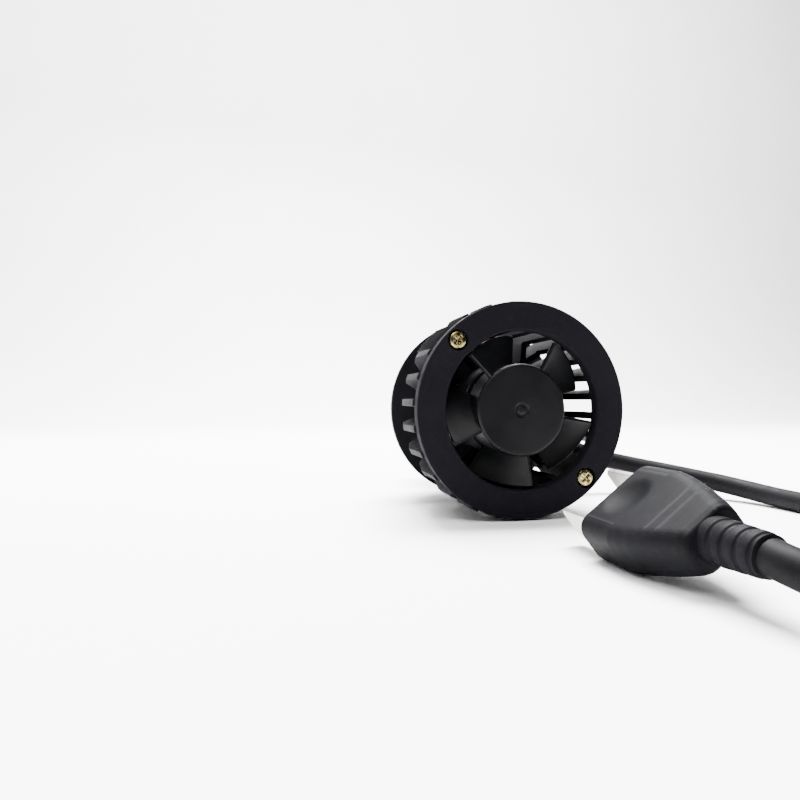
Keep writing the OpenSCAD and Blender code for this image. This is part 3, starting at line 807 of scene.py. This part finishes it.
def plug_body():
    """Moulded plug: lofted through rounded sections, with a thumb dimple on each broad side."""
    sections = ((0, 1.4, 1.2, 2.1), (0.25, 0.5, 0.45, 2.4), (0.9, 0, 0, 2.5), (8.6, 0, 0, 2.5),
                (10.6, 0.55, 0.08, 2.5), (12.8, 1.5, 0.22, 2.5), (15, 2.8, 0.42, 2.5),
                (17, 4, 0.6, 2.5), (20.8, 6.6, 1.3, 2.5), (PLUG_LEN - 0.3, 7.4, 2.0, 2.3),
                (PLUG_LEN, 8.4, 3.0, 2.0))
    bm = bmesh.new()
    loops = []
    for z, narrower, thinner, radius in sections:
        points = rounded_rectangle(PLUG_W - narrower, PLUG_T - thinner, radius)
        verts = [bm.verts.new((x, y, z)) for x, y in points]
        loops.append([bm.edges.new(pair) for pair in zip(verts, verts[1:] + verts[:1])])
    for near, far in zip(loops, loops[1:]):
        bmesh.ops.bridge_loops(bm, edges=near + far)
    for end in (loops[0], loops[-1]):
        bmesh.ops.contextual_create(bm, geom=end)
    tidy(bm)
    for axis, step, low, high in (("z", 0.5, 0.5, PLUG_LEN), ("x", 0.5, -PLUG_W / 2, PLUG_W / 2)):
        normal = (0, 0, 1) if axis == "z" else (1, 0, 0)
        for i in range(int((high - low) / step)):
            bmesh.ops.bisect_plane(bm, geom=bm.verts[:] + bm.edges[:] + bm.faces[:],
                                   plane_co=Vector(normal) * (low + i * step), plane_no=normal)
    press_thumb_dimples(bm)
    return bm


def press_thumb_dimples(bm):
    """Push both broad sides in with a ball, with a soft lip round the hollow."""
    for v in bm.verts:
        side = 1 if v.co.y > 0 else -1
        off = math.hypot(v.co.x, v.co.z - THUMB_BACK)
        if off >= THUMB_R or abs(v.co.y) < PLUG_T / 4:
            continue
        ball = PLUG_T / 2 + THUMB_R - THUMB_DEPTH - math.sqrt(THUMB_R ** 2 - off ** 2)
        gap = ball - abs(v.co.y)
        blend = 0.25
        if gap < blend:
            soft = ball if gap < -blend else abs(v.co.y) - (blend - gap) ** 2 / (4 * blend)
            v.co.y = side * soft


def plug_relief():
    """Ribbed tail along Z from the back of the plug."""
    outline = [(0, PLUG_LEN - 0.3), (3.2, PLUG_LEN - 0.3)]
    ribs = 4
    pitch = RELIEF_LEN / ribs
    for i in range(ribs):
        z = PLUG_LEN + i * pitch
        r = 3.2 - 0.42 * i / ribs
        outline += [(r, z + 0.05 * pitch), (r - 0.06, z + 0.62 * pitch), (r - 0.32, z + 0.72 * pitch),
                    (r - 0.34, z + 0.92 * pitch)]
    outline += [(2.72, PLUG_LEN + RELIEF_LEN), (0, PLUG_LEN + RELIEF_LEN)]
    bm = lathe(outline, 48)
    soften(bm, 0.1, 2, 35)
    return bm


def supply_cord(material):
    curve = bpy.data.curves.new("supply_cord_piece", "CURVE")
    curve.dimensions = "3D"
    curve.bevel_depth = CORD_D / 2 * MM
    curve.bevel_resolution = 8
    curve.resolution_u = 8
    curve.use_fill_caps = True
    spline = curve.splines.new("BEZIER")
    spline.bezier_points.add(len(CORD_ROUTE) - 1)
    for knot, place in zip(spline.bezier_points, CORD_ROUTE):
        knot.co = place
        knot.handle_left_type = knot.handle_right_type = "AUTO"
    curve.materials.append(material)
    cord = bpy.data.objects.new("supply_cord_piece", curve)
    bpy.context.scene.collection.objects.link(cord)
    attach(cord, "root")
    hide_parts("supply_cord")
    return cord


# ---------------------------------------------------------------- making the pieces

abs_plastic = moulded_abs_fine_grain()
pbt_plastic = moulded_pbt_satin()
anodised = black_anodised_die_casting()
turned_metal = turned_aluminium_satin()
milled_metal = milled_aluminium_bar()
zinc_plate = yellow_passivated_zinc_plate()
steel = bright_steel()
jacket = extruded_pvc_jacket()
soft_pvc = soft_moulded_pvc()
tin_plate = tin_plated_brass()
copper_board = brushed_copper_board()

finished(fan_cover(), "fan_cover_piece", ["fan_cover_ring"], abs_plastic, BULB)
finished(cover_screws(), "cover_screw_pieces", ["cover_screws"], zinc_plate, BULB)
finished(impeller(), "impeller_piece", ["impeller"], pbt_plastic, BULB, "rotor")
finished(heatsink(), "heatsink_piece", ["heatsink"], anodised, BULB)
finished(driver_housing(), "driver_housing_piece", ["driver_housing"], anodised,
         BULB)
finished(housing_screws(), "housing_screw_pieces", ["housing_screws"], steel, BULB)
finished(neck_seal(), "neck_seal_piece", ["neck_seal"], moulded_silicone_rubber(),
         BULB)
METRES = Matrix.Scale(MM, 4)
finished(cad_copy("mounting_collar", 0.2), "mounting_collar_piece", ["mounting_collar"],
         turned_metal, METRES, "collar")
finished(cad_copy("lamp_stem", 0.2), "lamp_stem_piece", ["lamp_stem"],
         milled_metal, METRES)
finished(cad_copy("led_boards", 0.05), "led_board_pieces", ["led_boards"],
         copper_board, METRES)
finished(cad_copy("led_chips", 0.08), "led_chip_pieces", ["led_chips"],
         phosphor_silicone(), METRES)

grommet = finished(cable_grommet(), "cable_grommet_piece", ["cable_grommet"], jacket,
                   OUTLET)
body = finished(plug_body(), "plug_body_piece", ["plug_body"], soft_pvc, PLUG)
relief = finished(plug_relief(), "plug_relief_piece", ["plug_relief"], soft_pvc,
                  PLUG)
blades = finished(cad_copy("plug_blades", 0.12), "plug_blade_pieces", ["plug_blades"],
                  tin_plate, METRES)
cord = supply_cord(jacket)

# Inner pieces keep their CAD shape and take a finish
INNER_FINISHES = (
    (steel, ("rotor_shaft", "rotor_yoke", "stator_core", "shaft_clip")),
    (sintered_ferrite(), ("magnet_ring",)),
    (sintered_bronze(), ("bearing_sleeve",)),
    (enamelled_copper_winding(), ("stator_coils",)),
    (solder_masked_board(), ("fan_pcb", "driver_board")),
    (pbt_plastic, ("fan_base",)),
    (moulded_epoxy_package(), ("driver_inductor", "driver_chips")),
    (shrunk_pvc_sleeve(), ("driver_capacitors",)),
    (extruded_wire_insulation("extruded_red_insulation", "#8c1c18", "#a32a24"), ("fan_leads",)),
    (extruded_wire_insulation("extruded_white_insulation", "#cfcabb", "#dedacd"), ("driver_leads",)))
for material, nodes in INNER_FINISHES:
    for node in nodes:
        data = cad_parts[node].data
        data.materials.clear()
        data.materials.append(material)


# ---------------------------------------------------------------- studio

def sweep():
    """A floor that curves up into a backdrop."""
    bm = bmesh.new()
    bend = 0.3
    back = 0.75
    points = [(-0.2, 0)] + arc((back - bend, bend), bend, -90, 0, 16) + [(back, 1.6)]
    verts = [bm.verts.new((-1.6, y, z)) for y, z in points]
    edges = [bm.edges.new(pair) for pair in zip(verts, verts[1:])]
    grown = bmesh.ops.extrude_edge_only(bm, edges=edges)["geom"]
    bmesh.ops.translate(bm, verts=[g for g in grown if isinstance(g, bmesh.types.BMVert)],
                        vec=(3.2, 0, 0))
    bmesh.ops.recalc_face_normals(bm, faces=bm.faces)
    mesh = bpy.data.meshes.new("sweep")
    bm.to_mesh(mesh)
    bm.free()
    mesh.shade_smooth()
    mesh.materials.append(sweep_paper())
    paper = bpy.data.objects.new("sweep", mesh)
    bpy.context.scene.collection.objects.link(paper)


def softbox(name, place, aim, size, power):
    data = bpy.data.lights.new(name, "AREA")
    data.shape = "RECTANGLE"
    data.size, data.size_y = size
    data.energy = power
    lamp = bpy.data.objects.new(name, data)
    lamp.location = place
    lamp.rotation_euler = (Vector(aim) - Vector(place)).to_track_quat("-Z", "Y").to_euler()
    bpy.context.scene.collection.objects.link(lamp)


def light_studio():
    """Bright paper behind and below, and little light from the camera's side."""
    world = bpy.data.worlds.new("studio")
    world.use_nodes = True
    world.node_tree.nodes["Background"].inputs["Color"].default_value = linear("#f4f5fa")
    world.node_tree.nodes["Background"].inputs["Strength"].default_value = 0.06
    bpy.context.scene.world = world
    softbox("top_light", (0.04, 0.2, 0.6), (0.01, -0.02, 0), (0.45, 0.35), 40)
    softbox("front_light", (-0.12, -0.34, 0.46), (0, -0.03, 0.02), (0.3, 0.3), 4)
    softbox("backdrop_light", (0, 0.15, 0.75), (0, 0.75, 0.25), (1.2, 0.3), 30)


sweep()
light_studio()
